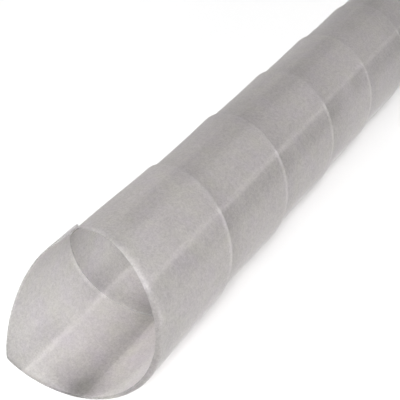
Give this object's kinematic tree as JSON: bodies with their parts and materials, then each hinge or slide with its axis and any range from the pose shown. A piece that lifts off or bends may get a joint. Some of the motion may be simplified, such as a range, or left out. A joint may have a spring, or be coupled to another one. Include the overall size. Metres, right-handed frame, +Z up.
{
  "type": "tree guard tube",
  "caption": "Spiral tree guard: a strip of frosted plastic coiled edge over edge into an open tube with slanting ends; its turns slide along the tube to open and close the coil.",
  "frame": {"origin": "on the floor under the middle of the tube, at the centre of the bounding box's underside", "axes": "+Y along the tube, from the end with the rounded tongue to the far end; +Z up; the tube lies on its side"},
  "size_m": [0.0498, 0.601, 0.0498],
  "materials": {
    "frosted_plastic": "frosted, milky and translucent, with a soft satin sheen"
  },
  "bodies": {
    "turn_01": {"turn_01": "frosted_plastic"},
    "turn_02": {"turn_02": "frosted_plastic"},
    "turn_03": {"turn_03": "frosted_plastic"},
    "turn_04": {"turn_04": "frosted_plastic"},
    "turn_05": {"turn_05": "frosted_plastic"},
    "turn_06": {"turn_06": "frosted_plastic"},
    "turn_07": {"turn_07": "frosted_plastic"},
    "turn_08": {"turn_08": "frosted_plastic"},
    "turn_09": {"turn_09": "frosted_plastic"},
    "turn_10": {"turn_10": "frosted_plastic"},
    "turn_11": {"turn_11": "frosted_plastic"},
    "turn_12": {"turn_12": "frosted_plastic"},
    "turn_13": {"turn_13": "frosted_plastic"},
    "turn_14": {"turn_14": "frosted_plastic"}
  },
  "joints": [
    {"name": "stretch_02", "type": "slide", "parent": "turn_01", "child": "turn_02", "axis": [0, 1, 0], "range_m": [-0.004, 0.012], "stiffness_N_per_m": 120},
    {"name": "stretch_03", "type": "slide", "parent": "turn_02", "child": "turn_03", "axis": [0, 1, 0], "range_m": [-0.004, 0.012], "stiffness_N_per_m": 120},
    {"name": "stretch_04", "type": "slide", "parent": "turn_03", "child": "turn_04", "axis": [0, 1, 0], "range_m": [-0.004, 0.012], "stiffness_N_per_m": 120},
    {"name": "stretch_05", "type": "slide", "parent": "turn_04", "child": "turn_05", "axis": [0, 1, 0], "range_m": [-0.004, 0.012], "stiffness_N_per_m": 120},
    {"name": "stretch_06", "type": "slide", "parent": "turn_05", "child": "turn_06", "axis": [0, 1, 0], "range_m": [-0.004, 0.012], "stiffness_N_per_m": 120},
    {"name": "stretch_07", "type": "slide", "parent": "turn_06", "child": "turn_07", "axis": [0, 1, 0], "range_m": [-0.004, 0.012], "stiffness_N_per_m": 120},
    {"name": "stretch_08", "type": "slide", "parent": "turn_07", "child": "turn_08", "axis": [0, 1, 0], "range_m": [-0.004, 0.012], "stiffness_N_per_m": 120},
    {"name": "stretch_09", "type": "slide", "parent": "turn_08", "child": "turn_09", "axis": [0, 1, 0], "range_m": [-0.004, 0.012], "stiffness_N_per_m": 120},
    {"name": "stretch_10", "type": "slide", "parent": "turn_09", "child": "turn_10", "axis": [0, 1, 0], "range_m": [-0.004, 0.012], "stiffness_N_per_m": 120},
    {"name": "stretch_11", "type": "slide", "parent": "turn_10", "child": "turn_11", "axis": [0, 1, 0], "range_m": [-0.004, 0.012], "stiffness_N_per_m": 120},
    {"name": "stretch_12", "type": "slide", "parent": "turn_11", "child": "turn_12", "axis": [0, 1, 0], "range_m": [-0.004, 0.012], "stiffness_N_per_m": 120},
    {"name": "stretch_13", "type": "slide", "parent": "turn_12", "child": "turn_13", "axis": [0, 1, 0], "range_m": [-0.004, 0.012], "stiffness_N_per_m": 120},
    {"name": "stretch_14", "type": "slide", "parent": "turn_13", "child": "turn_14", "axis": [0, 1, 0], "range_m": [-0.004, 0.012], "stiffness_N_per_m": 120}
  ],
  "couplings": [
    {"joint": "stretch_03", "follows": "stretch_02", "ratio": 1},
    {"joint": "stretch_04", "follows": "stretch_02", "ratio": 1},
    {"joint": "stretch_05", "follows": "stretch_02", "ratio": 1},
    {"joint": "stretch_06", "follows": "stretch_02", "ratio": 1},
    {"joint": "stretch_07", "follows": "stretch_02", "ratio": 1},
    {"joint": "stretch_08", "follows": "stretch_02", "ratio": 1},
    {"joint": "stretch_09", "follows": "stretch_02", "ratio": 1},
    {"joint": "stretch_10", "follows": "stretch_02", "ratio": 1},
    {"joint": "stretch_11", "follows": "stretch_02", "ratio": 1},
    {"joint": "stretch_12", "follows": "stretch_02", "ratio": 1},
    {"joint": "stretch_13", "follows": "stretch_02", "ratio": 1},
    {"joint": "stretch_14", "follows": "stretch_02", "ratio": 1}
  ]
}
